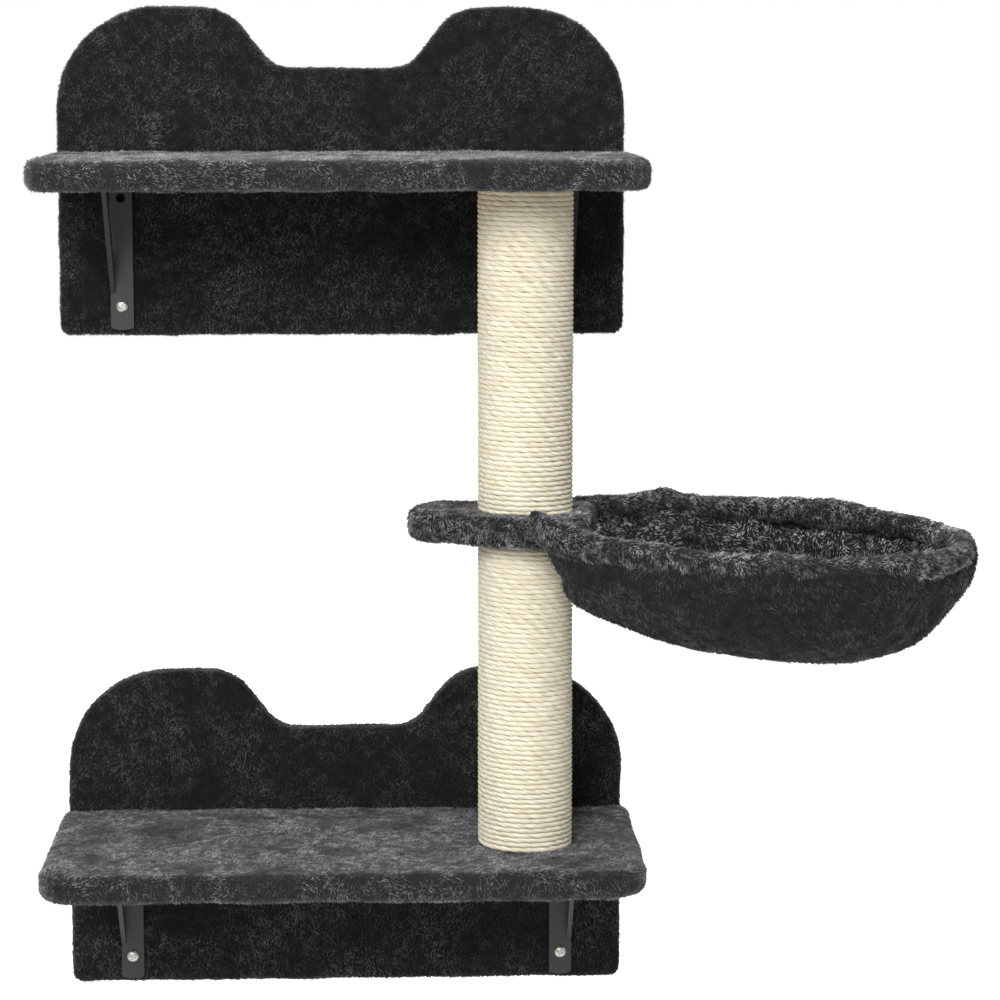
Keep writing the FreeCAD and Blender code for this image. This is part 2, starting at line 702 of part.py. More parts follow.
for tier in ("upper", "lower"):
    save(tier + "_wall_board", wall_board(tier))
    save(tier + "_wall_board_cover", wall_board_cover(tier))
    save(tier + "_shelf_board", shelf_board(tier))
    save(tier + "_shelf_cover", shelf_cover(tier))
    save(tier + "_left_bracket", bracket(tier, -1))
    save(tier + "_right_bracket", bracket(tier, 1))
    save(tier + "_leg_screws", leg_screws(tier))
    save(tier + "_shelf_screws", shelf_screws(tier))
    save(tier + "_post_tube", post_tube(tier))
    save(tier + "_post_rope", post_rope(tier))

for name, end_z, inward in post_ends():
    save(name, post_plug(end_z, inward))

save("post_nuts", post_nuts())
save("joining_stud", joining_stud())
save("lower_post_bolt", lower_post_bolt())
save("lower_post_washer", lower_post_washer())
save("upper_post_bolt", upper_post_bolt())
save("hammock_plate", hammock_plate())
save("hammock_plate_cover", hammock_plate_cover())
save("hammock_hoop", hammock_hoop())
save("hoop_lock_screws", hoop_lock_screws())
save("hammock_rim_casing", hammock_rim_casing())
save("hammock_pouch", hammock_pouch())
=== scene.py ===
"""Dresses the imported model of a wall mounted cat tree: plush, sisal rope, coated steel and wood."""

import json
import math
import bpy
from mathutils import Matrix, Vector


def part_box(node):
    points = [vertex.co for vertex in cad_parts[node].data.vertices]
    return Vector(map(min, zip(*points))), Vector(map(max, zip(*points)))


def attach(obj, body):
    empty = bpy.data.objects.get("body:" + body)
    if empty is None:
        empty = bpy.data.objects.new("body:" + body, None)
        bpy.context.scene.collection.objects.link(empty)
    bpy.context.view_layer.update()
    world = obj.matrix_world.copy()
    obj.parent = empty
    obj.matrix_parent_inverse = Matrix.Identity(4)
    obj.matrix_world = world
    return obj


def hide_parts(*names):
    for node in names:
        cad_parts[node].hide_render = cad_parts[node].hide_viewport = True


bl_info = {
    "name": "Wall mounted cat tree",
    "version": (1, 0, 0),
    "blender": (4, 5, 0),
    "location": "View3D > Sidebar > Cat Tree",
    "description": "Plush covers, rope wound posts and a hanging hammock for a cat tree",
    "category": "Object",
}

import bpy
import numpy as np
from mathutils import Vector, noise
from mathutils.bvhtree import BVHTree

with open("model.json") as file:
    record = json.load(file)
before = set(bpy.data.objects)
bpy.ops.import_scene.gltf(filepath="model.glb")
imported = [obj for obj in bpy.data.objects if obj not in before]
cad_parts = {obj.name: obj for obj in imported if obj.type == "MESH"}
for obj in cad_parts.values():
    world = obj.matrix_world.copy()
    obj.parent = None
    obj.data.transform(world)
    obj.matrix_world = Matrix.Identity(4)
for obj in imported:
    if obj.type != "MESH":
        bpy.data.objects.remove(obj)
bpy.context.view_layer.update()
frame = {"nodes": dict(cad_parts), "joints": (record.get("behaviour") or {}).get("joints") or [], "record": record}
SWIVEL = Vector(frame["joints"][0]["pos_m"])
TIERS = ("upper", "lower")

# The camera that was fitted to the photograph, with its turns in radians.
CAMERA_PLACE = (0.0314, -2.8083, 0.41525)
CAMERA_DOWN, CAMERA_RIGHT = 0.1389, 0.0387
CAMERA_LENS, CAMERA_SENSOR = 113.38, 36.0

# How the hammock hangs from its plate, in degrees, and the middles of its hoop and its pouch.
HAMMOCK_SWING, HAMMOCK_DROOP, HAMMOCK_ROLL = 10.0, 2.3, 1.2
HOOP_MIDDLE = 0.21
POUCH_MIDDLE = np.array(SWIVEL) + np.array((0.22, -0.04, -0.01))

# Plush: how near a board hides the skin, how deep a lock is rooted, and the furthest back that a
# fibre may stand, so that none enters the wall.
HIDDEN_REACH, HIDDEN_FACES = 0.0028, 0.03
ROOT_DEPTH = 0.0004
LAST_Y = -0.0003

# Discs over the wall screw holes, and the arms of the cross in a screw's head.
PLUG_RADIUS, PLUG_DEPTH, PLUG_SINK = 0.0055, 0.0035, 0.0025
RECESS_ARM, RECESS_TURN, RECESS_MESH = (0.0058, 0.0034, 0.0011), 0.35, 0.00022

# Rope: how much its turns are pressed into each other, and how finely it is built.
ROPE_PRESS = 1.17
ROPE_SIDES, STEPS_PER_LAY, STEPS_PER_TURN = 12, 12, 40


# ------------------------------------------------------------------ sizes and colours
class PlushSettings(bpy.types.PropertyGroup):
    length: bpy.props.FloatProperty(
        name="Fibre length", description="Length of the pile's fibres",
        default=0.0040, min=0.001, max=0.012, unit="LENGTH", precision=4)
    width: bpy.props.FloatProperty(
        name="Fibre width", description="Width of a lock of fibres at its root",
        default=0.0010, min=0.0004, max=0.004, unit="LENGTH", precision=4)
    rise: bpy.props.FloatProperty(
        name="Rise", description="How steeply the fibres stand on the skin",
        default=0.55, min=0.1, max=3.0)
    sink: bpy.props.FloatProperty(
        name="Sink", description="How far the skin lies below the cover's surface",
        default=0.0014, min=0.0, max=0.003, unit="LENGTH", precision=4)
    mesh: bpy.props.FloatProperty(
        name="Skin mesh", description="Size of the faces of the skin under the pile",
        default=0.0028, min=0.002, max=0.006, unit="LENGTH", precision=4)
    # The pile darkens from the tip colour down to the root colour, and the skin under it takes the root colour:
    # painted shade deep among the fibres.
    root: bpy.props.FloatVectorProperty(
        name="Root", description="Colour deep in the pile",
        subtype="COLOR", size=4, default=(0.0062, 0.0062, 0.0068, 1.0))
    tip: bpy.props.FloatVectorProperty(
        name="Tip", description="Colour of the pile's tips",
        subtype="COLOR", size=4, default=(0.30, 0.302, 0.312, 1.0))


class RopeSettings(bpy.types.PropertyGroup):
    diameter: bpy.props.FloatProperty(
        name="Rope", description="Diameter of the sisal rope",
        default=0.0042, min=0.003, max=0.012, unit="LENGTH", precision=4)
    lay: bpy.props.FloatProperty(
        name="Lay", description="Length in which the strands turn once round the rope",
        default=0.032, min=0.008, max=0.06, unit="LENGTH", precision=4)
    light: bpy.props.FloatVectorProperty(
        name="Light fibre", description="Colour of the rope's pale fibres",
        subtype="COLOR", size=4, default=(0.76, 0.73, 0.61, 1.0))
    dark: bpy.props.FloatVectorProperty(
        name="Dark fibre", description="Colour of the rope's darker fibres",
        subtype="COLOR", size=4, default=(0.52, 0.45, 0.31, 1.0))


class HammockSettings(bpy.types.PropertyGroup):
    pucker: bpy.props.FloatProperty(
        name="Pucker", description="Depth of the gathers along the hem",
        default=0.0020, min=0.0, max=0.006, unit="LENGTH", precision=4)
    fold: bpy.props.FloatProperty(
        name="Fold", description="Height of the soft folds down the pouch",
        default=0.0085, min=0.0, max=0.02, unit="LENGTH", precision=4)
    ear: bpy.props.FloatProperty(
        name="Ear", description="How far the hem's near end stands up at the plate",
        default=0.019, min=0.0, max=0.03, unit="LENGTH", precision=4)


class StudioSettings(bpy.types.PropertyGroup):
    ambient: bpy.props.FloatProperty(
        name="Ambient", description="Light from the white surroundings",
        default=0.62, min=0.0, max=4.0)
    key: bpy.props.FloatProperty(
        name="Key light", description="Power of the large soft light above the camera",
        default=115.0, min=0.0, max=500.0, unit="POWER")
    top: bpy.props.FloatProperty(
        name="Top light", description="Power of the soft light over the tree",
        default=28.0, min=0.0, max=500.0, unit="POWER")
    floor_drop: bpy.props.FloatProperty(
        name="Floor", description="Height of the floor below the wall fixing",
        default=-1.3, min=-3.0, max=-0.5, unit="LENGTH")


# ------------------------------------------------------------------ modelling helpers
def deselect():
    if bpy.context.object and bpy.context.object.mode != "OBJECT":
        bpy.ops.object.mode_set(mode="OBJECT")
    bpy.ops.object.select_all(action="DESELECT")


def make_active(obj):
    deselect()
    obj.select_set(True)
    bpy.context.view_layer.objects.active = obj


def edit(obj, mode="FACE"):
    make_active(obj)
    bpy.ops.object.mode_set(mode="EDIT")
    bpy.ops.mesh.select_mode(type=mode)


def done():
    bpy.ops.object.mode_set(mode="OBJECT")


def join_pieces(pieces):
    """Joins pieces into the first of them."""
    make_active(pieces[0])
    for piece in pieces:
        piece.select_set(True)
    bpy.ops.object.join()


def apply_modifier(obj, kind, **settings):
    make_active(obj)
    bpy.ops.object.modifier_add(type=kind)
    modifier = obj.modifiers[-1]
    for key, value in settings.items():
        setattr(modifier, key, value)
    bpy.ops.object.modifier_apply(modifier=modifier.name)


def finish_piece(obj, body, slot, look, *nodes):
    obj.data.materials.clear()
    obj.data.materials.append(material(look))
    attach(obj, body)
    if nodes:
        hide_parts(*nodes)


def skin_of(name, node):
    """A merged copy of a CAD node, as the start of a piece that replaces it."""
    mesh = frame["nodes"][node].data.copy()
    mesh.name = name
    obj = bpy.data.objects.new(name, mesh)
    bpy.context.scene.collection.objects.link(obj)
    edit(obj, "VERT")
    bpy.ops.mesh.select_all(action="SELECT")
    bpy.ops.mesh.remove_doubles(threshold=1e-5)
    done()
    return obj


def points_of(obj, what="co"):
    values = np.empty(len(obj.data.vertices) * 3)
    obj.data.vertices.foreach_get(what, values)
    return values.reshape(-1, 3)


def set_points(obj, points):
    obj.data.vertices.foreach_set("co", points.ravel())
    obj.data.update()


def faces_of(obj, what, width=3):
    values = np.empty(len(obj.data.polygons) * width)
    obj.data.polygons.foreach_get(what, values)
    return values.reshape(-1, width)


def corners_of(obj):
    """The point numbers of a remeshed skin's faces, four to a face."""
    corners = np.empty(len(obj.data.loops), np.int32)
    obj.data.loops.foreach_get("vertex_index", corners)
    return corners.reshape(-1, 4)


def smooth_noise(points, size, seed):
    """One value from -1 to 1 per point, changing over about this size."""
    shift = Vector((seed * 7.13, seed * 3.71, seed * 11.9))
    return np.array([noise.noise(Vector(p) / size + shift) for p in points])


def bell(values, middle, width):
    return np.exp(-((values - middle) / width) ** 2)


def unit(vectors):
    return vectors / (np.linalg.norm(vectors, axis=1)[:, None] + 1e-6)


# ------------------------------------------------------------------ plush
def against(obj, nodes):
    """Which faces of a skin lie against the named CAD nodes, where nothing shows."""
    graph = bpy.context.evaluated_depsgraph_get()
    backs = [BVHTree.FromObject(frame["nodes"][node], graph) for node in nodes]
    return np.array([any(tree.find_nearest(polygon.center, HIDDEN_REACH)[0] is not None
                         for tree in backs) for polygon in obj.data.polygons], bool)


def thin_out(obj, hidden):
    """Gives the hidden side of a skin few faces."""
    if hidden.any():
        obj.data.polygons.foreach_set("select", hidden)
        edit(obj)
        bpy.ops.mesh.decimate(ratio=HIDDEN_FACES)
        done()


def settle(obj, hidden, sink, lump, lump_size, seed):
    """Lowers the side that shows by the pile's height, and makes it a little lumpy."""
    points, normals = points_of(obj), points_of(obj, "normal")
    shows = np.ones(len(points), bool)
    shows[corners_of(obj)[hidden].ravel()] = False
    lumps = lump * smooth_noise(points, lump_size, seed)
    grain = 0.0005 * smooth_noise(points, 0.007, seed + 1)
    points += normals * ((lumps + grain - sink) * shows)[:, None]
    set_points(obj, points)


def scatter(skin, hidden, count, rng):
    """Random places on the faces of a skin that show, and the faces' normals."""
    share = np.where(hidden, 0.0, faces_of(skin, "area", 1)[:, 0])
    chosen = rng.choice(len(share), count, p=share / share.sum())
    corners = points_of(skin)[corners_of(skin)[chosen]]
    u, v = rng.random((2, count, 1))
    places = (corners[:, 0] * u * v + corners[:, 1] * (1 - u) * v
              + corners[:, 2] * (1 - u) * (1 - v) + corners[:, 3] * u * (1 - v))
    return places, faces_of(skin, "normal")[chosen]


def brushed(places, normals, comb, rise, seed, rng):
    """Which way each lock points: combed, swirled in patches and standing up a little."""
    way = comb(places, normals)
    way = unit(way - normals * (way * normals).sum(1)[:, None])
    swirl = 1.5 * smooth_noise(places, 0.040, seed) + 1.1 * smooth_noise(places, 0.012, seed + 5)
    swirl = (swirl + rng.normal(0, 0.35, len(places)))[:, None]
    way = way * np.cos(swirl) + np.cross(normals, way) * np.sin(swirl)
    tufts = 0.5 * smooth_noise(places, 0.009, seed + 9)[:, None]
    steep = rise * np.exp(rng.normal(0, 0.35, (len(places), 1)) + tufts)
    return unit(way + normals * steep)


def grow_pile(skin, name, hidden, count, comb, seed, length, shade):
    """Short leaning locks of fibre on all of a skin that shows: one modelled, the rest copies."""
    plush = bpy.context.scene.cat_tree_plush
    rng = np.random.default_rng(seed)
    places, normals = scatter(skin, hidden, count, rng)
    way = brushed(places, normals, comb, plush.rise, seed, rng)
    side = unit(np.cross(normals, way))
    back = np.cross(way, side)

    tall = plush.length * length
    deselect()
    bpy.ops.mesh.primitive_cone_add(vertices=3, radius1=plush.width / 2, radius2=0.0, depth=tall,
                                    end_fill_type="NOTHING", location=(0.0, 0.0, tall / 2))
    pile = bpy.context.object
    pile.name = name
    bpy.ops.object.transform_apply(location=True)
    apply_modifier(pile, "ARRAY", count=count, relative_offset_displace=(0.0, 0.0, 0.0))

    locks = points_of(pile).reshape(count, -1, 3)
    size = rng.uniform(0.65, 1.3, (count, 1, 1))
    roots = places - ROOT_DEPTH * normals
    placed = (roots[:, None] + locks[..., :1] * side[:, None] + locks[..., 1:2] * back[:, None]
              + locks[..., 2:] * size * way[:, None])
    placed[..., 1] = np.minimum(placed[..., 1], LAST_Y)
    set_points(pile, placed.reshape(-1, 3))

    tips = (locks[..., 2] > tall / 2).astype(float)
    shades = rng.uniform(0.25, 1.0, (count, 1)) ** 1.2
    # A given shade function scales each fibre's tone by place, as painted light and shade.
    if shade:
        shades = shades * shade(places, normals)[:, None]
    shades = np.broadcast_to(shades, tips.shape)
    for label, values in (("pile_tip", tips), ("pile_shade", shades)):
        attribute = pile.data.attributes.new(label, "FLOAT", "POINT")
        attribute.data.foreach_set("value", values.ravel().copy())
    pile.data.shade_smooth()
    return pile


def cover_with_plush(name, node, body, look, comb, count, seed, behind=(), lump=0.0012,
                     lump_size=0.035, mesh=None, length=1.0, shape=None, patches=(), shade=None,
                     sink=None):
    """A soft skin over a CAD cover with its pile on it; returns both."""
    plush = bpy.context.scene.cat_tree_plush
    skin = skin_of(name, node)
    if patches:
        join_pieces([skin, *patches])
    apply_modifier(skin, "REMESH", mode="VOXEL", voxel_size=mesh or plush.mesh)
    apply_modifier(skin, "SMOOTH", factor=0.5, iterations=2)
    hidden = against(skin, behind)
    if shape:
        shape(skin)
    settle(skin, hidden, plush.sink if sink is None else sink, lump, lump_size, seed)
    pile = grow_pile(skin, name + "_pile", hidden, count, comb, seed, length, shade)
    thin_out(skin, hidden)
    skin.data.shade_smooth()
    finish_piece(skin, body, "plush", look, node)
    finish_piece(pile, body, "plush", look)
    return skin, pile


def along(*direction):
    """A comb that brushes the pile one way."""
    way = np.array(direction, float)
    way /= np.linalg.norm(way)
    return lambda points, normals: np.broadcast_to(way, points.shape)


def over_the_edge(points, normals):
    """A comb that brushes along a shelf's top, and down and to the right over its front edge."""
    return np.where(normals[:, 2:] > 0.5, (1.0, -0.3, 0.0), (0.55, 0.0, -0.85))


# ------------------------------------------------------------------ material helpers
class Nodes:
    """Short hand for adding and joining the nodes of a tree."""

    def __init__(self, tree):
        self.tree = tree
        tree.nodes.clear()

    def add(self, kind, inputs=None, **settings):
        node = self.tree.nodes.new(kind)
        for key, value in settings.items():
            setattr(node, key, value)
        for key, value in (inputs or {}).items():
            if isinstance(value, bpy.types.NodeSocket):
                self.link(value, node.inputs[key])
            else:
                node.inputs[key].default_value = value
        return node

    def link(self, source, target):
        self.tree.links.new(source, target)

    def calculate(self, operation, first, second, **settings):
        """The first value and the second, added, multiplied or the like."""
        node = self.add("ShaderNodeMath", {0: first, 1: second}, operation=operation, **settings)
        return node.outputs[0]

    def remap(self, value, low, high, to_low, to_high):
        """A value moved from one range to another, and kept inside it."""
        node = self.add("ShaderNodeMapRange", {
            "Value": value, "From Min": low, "From Max": high, "To Min": to_low, "To Max": to_high})
        return node.outputs[0]

    def blend(self, factor, first, second):
        """A colour between two others."""
        node = self.add("ShaderNodeMix", {"Factor": factor, "A": first, "B": second},
                        data_type="RGBA")
        return node.outputs["Result"]

    def noise_texture(self, vector, scale, **inputs):
        node = self.add("ShaderNodeTexNoise", {"Vector": vector, "Scale": scale, **inputs})
        return node.outputs["Fac"]

    def ramp(self, value, *stops):
        """A colour ramp with two stops, each a place and a colour."""
        node = self.add("ShaderNodeValToRGB", {"Fac": value})
        for element, (place, color) in zip(node.color_ramp.elements, stops):
            element.position = place
            element.color = color
        return node.outputs["Color"]

    def bump(self, surface, height, strength, distance):
        node = self.add("ShaderNodeBump", {
            "Height": height, "Strength": strength, "Distance": distance})
        self.link(node.outputs["Normal"], surface.inputs["Normal"])


def node_group(name, inputs, outputs):
    group = bpy.data.node_groups.new(name, "ShaderNodeTree")
    for label, kind, default in inputs:
        socket = group.interface.new_socket(name=label, in_out="INPUT", socket_type=kind)
        if default is not None:
            socket.default_value = default
    for label, kind in outputs:
        group.interface.new_socket(name=label, in_out="OUTPUT", socket_type=kind)
    nodes = Nodes(group)
    given = nodes.add("NodeGroupInput").outputs
    return nodes, given, nodes.add("NodeGroupOutput").inputs


def grey(value):
    return (value, value, value, 1.0)


def pile_group():
    """Colour of short plush: dark roots that paint the shade deep in the pile, pale tips, brushed patches and
    uneven locks.
    """
    nodes, given, result = node_group(
        "Plush pile",
        [("Vector", "NodeSocketVector", None), ("Root", "NodeSocketColor", grey(0.01)),
         ("Tip", "NodeSocketColor", grey(0.06)), ("Tip mask", "NodeSocketFloat", 0.0),
         ("Shade", "NodeSocketFloat", 0.5), ("Patch size", "NodeSocketFloat", 18.0),
         ("Patch depth", "NodeSocketFloat", 0.5)],
        [("Color", "NodeSocketColor"), ("Height", "NodeSocketFloat"),
         ("Roughness", "NodeSocketFloat")])
    patches = nodes.noise_texture(given["Vector"], given["Patch size"],
                          Detail=5.0, Roughness=0.60, Distortion=0.8)
    clumps = nodes.noise_texture(given["Vector"], 130.0, Detail=3.0, Roughness=0.6)
    patch = nodes.remap(patches, 0.36, 0.64, nodes.calculate("SUBTRACT", 1.0, given["Patch depth"]),
                        nodes.calculate("ADD", 1.0, given["Patch depth"]))
    clump = nodes.remap(clumps, 0.35, 0.65, 0.12, 1.55)
    fibre = nodes.calculate("MULTIPLY", given["Tip mask"],
                       nodes.remap(given["Shade"], 0.0, 2.0, 0.08, 2.0))
    fibre = nodes.calculate("MULTIPLY", fibre, clump)
    pale = nodes.calculate("MULTIPLY", fibre, patch, use_clamp=True)
    # Down the fibres and on the skin the colour falls to the root colour: painted shade deep in the pile.
    nodes.link(nodes.blend(pale, given["Root"], given["Tip"]), result["Color"])
    nodes.link(clumps, result["Height"])
    nodes.link(nodes.remap(clumps, 0.3, 0.7, 0.95, 0.7), result["Roughness"])


def fibre_group():
    """Streaks that run along one axis of the given coordinates, for rope, wood and card."""
    nodes, given, result = node_group(
        "Fibre streaks",
        [("Vector", "NodeSocketVector", None), ("Scale", "NodeSocketVector", None),
         ("Light", "NodeSocketColor", grey(0.8)), ("Dark", "NodeSocketColor", grey(0.4)),
         ("Contrast", "NodeSocketFloat", 0.5)],
        [("Color", "NodeSocketColor"), ("Height", "NodeSocketFloat")])
    stretched = nodes.add("ShaderNodeVectorMath", {0: given["Vector"], 1: given["Scale"]},
                          operation="MULTIPLY")
    streaks = nodes.noise_texture(stretched.outputs[0], 1.0,
                                  Detail=6.0, Roughness=0.65, Distortion=0.3)
    mask = nodes.remap(streaks, nodes.calculate("SUBTRACT", 0.5, given["Contrast"]),
                       nodes.calculate("ADD", 0.5, given["Contrast"]), 0.0, 1.0)
    nodes.link(nodes.blend(mask, given["Dark"], given["Light"]), result["Color"])
    nodes.link(streaks, result["Height"])


def new_material(name, **shader):
    """A material with its shader's named inputs set, and object coordinates to build on."""
    made = bpy.data.materials.new(name)
    made.use_nodes = True
    nodes = Nodes(made.node_tree)
    surface = nodes.add("ShaderNodeBsdfPrincipled",
                        {key.replace("_", " "): value for key, value in shader.items()})
    nodes.add("ShaderNodeOutputMaterial", {"Surface": surface.outputs["BSDF"]})
    return made, nodes, surface, nodes.add("ShaderNodeTexCoord").outputs["Object"]


def plush_material(name, patch_size, patch_depth, brightness, depth, sheen):
    plush = bpy.context.scene.cat_tree_plush
    made, nodes, surface, coordinates = new_material(
        name, Sheen_Weight=sheen, Sheen_Roughness=0.5, Sheen_Tint=(0.84, 0.85, 0.90, 1.0),
        Specular_IOR_Level=0.15)
    tip = nodes.add("ShaderNodeAttribute", attribute_name="pile_tip")
    shade = nodes.add("ShaderNodeAttribute", attribute_name="pile_shade")
    pile = nodes.add("ShaderNodeGroup", node_tree=bpy.data.node_groups["Plush pile"])
    for key, source in (("Vector", coordinates), ("Tip mask", tip.outputs["Fac"]),
                        ("Shade", shade.outputs["Fac"])):
        nodes.link(source, pile.inputs[key])
    # Tip light and root depth, set for each place, paint the light and shade that falls there.
    for key, value in (("Root", [channel * depth for channel in plush.root[:3]] + [1.0]),
                       ("Tip", [channel * brightness for channel in plush.tip[:3]] + [1.0]),
                       ("Patch size", patch_size), ("Patch depth", patch_depth)):
        pile.inputs[key].default_value = value
    nodes.link(pile.outputs["Color"], surface.inputs["Base Color"])
    nodes.link(pile.outputs["Roughness"], surface.inputs["Roughness"])
    nodes.bump(surface, pile.outputs["Height"], 0.5, 0.0012)
    return made


def streaked_material(name, scale, light, dark, contrast, relief, attribute=None, **shader):
    """A finish with fibres, such as rope, wood or card."""
    made, nodes, surface, coordinates = new_material(name, **shader)
    if attribute:
        coordinates = nodes.add("ShaderNodeAttribute", attribute_name=attribute).outputs["Vector"]
    streaks = nodes.add("ShaderNodeGroup", node_tree=bpy.data.node_groups["Fibre streaks"])
    nodes.link(coordinates, streaks.inputs["Vector"])
    for key, value in (("Scale", scale), ("Light", light), ("Dark", dark), ("Contrast", contrast)):
        streaks.inputs[key].default_value = value
    nodes.link(streaks.outputs["Color"], surface.inputs["Base Color"])
    nodes.bump(surface, streaks.outputs["Height"], 0.5, relief)
    return made


def speckled_material(name, scale, dark, light, rough, relief=0.0001, **shader):
    """A finish with a fine even grain, such as powder coat, zinc or moulded plastic."""
    made, nodes, surface, coordinates = new_material(name, **shader)
    grain = nodes.noise_texture(coordinates, scale, Detail=3.0, Roughness=0.6)
    nodes.link(nodes.ramp(grain, (0.35, dark), (0.65, light)), surface.inputs["Base Color"])
    nodes.link(nodes.remap(grain, 0.3, 0.7, *rough), surface.inputs["Roughness"])
    nodes.bump(surface, grain, 0.35, relief)
    return made


def floor_material(name):
    """A pale matt floor that the camera sees as pure white."""
    made, nodes, surface, coordinates = new_material(
        name, Roughness=0.8, Emission_Color=grey(1.0))
    mottle = nodes.ramp(nodes.noise_texture(coordinates, 3.0), (0.4, grey(0.78)), (0.6, grey(0.80)))
    nodes.link(mottle, surface.inputs["Base Color"])
    nodes.link(nodes.add("ShaderNodeLightPath").outputs["Is Camera Ray"],
               surface.inputs["Emission Strength"])
    return made


def material(name):
    """Every finish of the tree, made on first use."""
    if name in bpy.data.materials:
        return bpy.data.materials[name]
    if "Plush pile" not in bpy.data.node_groups:
        pile_group()
        fibre_group()
    rope = bpy.context.scene.cat_tree_rope
    finishes = {
        # The three plush finishes are one black plush: their tip light and root depth paint light and shade,
        # darkest on the wall boards and lighter on the shelves and the hammock.
        "wall plush": (plush_material, dict(
            patch_size=17.0, patch_depth=0.90, brightness=0.62, depth=0.7, sheen=0.16)),
        "shelf plush": (plush_material, dict(
            patch_size=28.0, patch_depth=0.90, brightness=1.50, depth=1.6, sheen=0.22)),
        "hammock plush": (plush_material, dict(
            patch_size=24.0, patch_depth=0.60, brightness=2.40, depth=1.4, sheen=0.05)),
        "sisal rope": (streaked_material, dict(
            scale=(900.0, 900.0, 50.0), light=rope.light, dark=rope.dark, contrast=0.13,
            relief=0.0008, attribute="rope_fibre", Roughness=0.9, Specular_IOR_Level=0.25,
            Sheen_Weight=0.1)),
        "board wood": (streaked_material, dict(
            scale=(14.0, 160.0, 160.0), light=(0.63, 0.47, 0.30, 1.0),
            dark=(0.42, 0.29, 0.17, 1.0), contrast=0.3, relief=0.0004, Roughness=0.75)),
        "cardboard": (streaked_material, dict(
            scale=(60.0, 60.0, 260.0), light=(0.46, 0.33, 0.20, 1.0),
            dark=(0.32, 0.22, 0.13, 1.0), contrast=0.3, relief=0.0003, Roughness=0.9)),
        "black powder coat": (speckled_material, dict(
            scale=900.0, dark=grey(0.012), light=grey(0.020), rough=(0.32, 0.46),
            Coat_Weight=0.25, Coat_Roughness=0.25)),
        "zinc plate": (speckled_material, dict(
            scale=700.0, dark=(0.52, 0.52, 0.50, 1.0), light=(0.70, 0.70, 0.67, 1.0),
            rough=(0.22, 0.40), relief=0.00005, Metallic=1.0)),
        "moulded plastic": (speckled_material, dict(
            scale=500.0, dark=grey(0.02), light=grey(0.035), rough=(0.45, 0.6))),
        "coated wire": (speckled_material, dict(
            scale=600.0, dark=grey(0.02), light=grey(0.03), rough=(0.3, 0.45), Coat_Weight=0.3)),
        "studio white": (floor_material, {}),
    }
    maker, settings = finishes[name]
    return maker(name, **settings)


# ------------------------------------------------------------------ walls and screws
def wall_holes(tier):
    """The middles of the two wall screw holes of a tier."""
    pattern = frame["record"]["mounts"][0]["dims"]
    x, z = pattern["spacing_x_mm"] / 2000, pattern["spacing_y_mm"] / 2000
    return [Vector((side * x, 0.0, z if tier == "upper" else -z)) for side in (-1, 1)]


def hole_plugs(tier):
    """Discs that let the plush close over the wall screw holes."""
    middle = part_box(tier + "_wall_board_cover")[0].y + PLUG_SINK
    plugs = []
    for hole in wall_holes(tier):
        deselect()
        bpy.ops.mesh.primitive_cylinder_add(
            vertices=16, radius=PLUG_RADIUS, depth=PLUG_DEPTH,
            location=(hole.x, middle, hole.z), rotation=(math.pi / 2, 0, 0))
        plugs.append(bpy.context.object)
    return plugs


def cross_cutter(places):
    """A body with a cross at each place, to cut the recesses of screws."""
    arms = []
    for place in places:
        for turn in (RECESS_TURN, RECESS_TURN + math.pi / 2):
            deselect()
            bpy.ops.mesh.primitive_cube_add(size=1.0)
            arm = bpy.context.object
            arm.scale = RECESS_ARM
            arm.rotation_euler = (0.0, turn, 0.0)
            arm.location = place
            bpy.ops.object.transform_apply()
            arms.append(arm)
    join_pieces(arms)
    apply_modifier(arms[0], "REMESH", mode="VOXEL", voxel_size=RECESS_MESH)
    return arms[0]


# ------------------------------------------------------------------ rope
def rope_strand(name, radius, length, lays):
    """A straight three strand rope along z, with coordinates that follow its fibres."""
    deselect()
    bpy.ops.mesh.primitive_circle_add(vertices=ROPE_SIDES, radius=radius, fill_type="NOTHING")
    strand = bpy.context.object
    strand.name = name
    section = points_of(strand)
    angle = np.arctan2(section[:, 1], section[:, 0])
    section *= (0.93 + 0.10 * np.cos(3 * angle))[:, None]
    set_points(strand, section)
    apply_modifier(strand, "SCREW", axis="Z", angle=2 * math.pi, screw_offset=length / lays,
                   iterations=lays, steps=STEPS_PER_LAY, render_steps=STEPS_PER_LAY,
                   use_smooth_shade=True, use_normal_calculate=True)
    x, y, z = points_of(strand).T
    lay = -2 * math.pi * z * lays / length
    fibres = np.stack([x * np.cos(lay) - y * np.sin(lay), x * np.sin(lay) + y * np.cos(lay), z], 1)
    attribute = strand.data.attributes.new("rope_fibre", "FLOAT_VECTOR", "POINT")
    attribute.data.foreach_set("vector", fibres.ravel())
    return strand


def winding_path(name, middle, bottom, radius, pitch, turns):
    """The line that the middle of a rope follows round a post."""
    turn = np.linspace(0.0, turns, turns * STEPS_PER_TURN + 1)
    angle = -2 * math.pi * turn
    curve = bpy.data.curves.new(name, "CURVE")
    curve.dimensions = "3D"
    spline = curve.splines.new("POLY")
    spline.points.add(len(turn) - 1)
    spline.points.foreach_set("co", np.stack(
        [middle.x + radius * np.cos(angle), middle.y + radius * np.sin(angle),
         bottom + pitch * turn, np.ones_like(angle)], 1).ravel())
    path = bpy.data.objects.new(name, curve)
    bpy.context.scene.collection.objects.link(path)
    return path


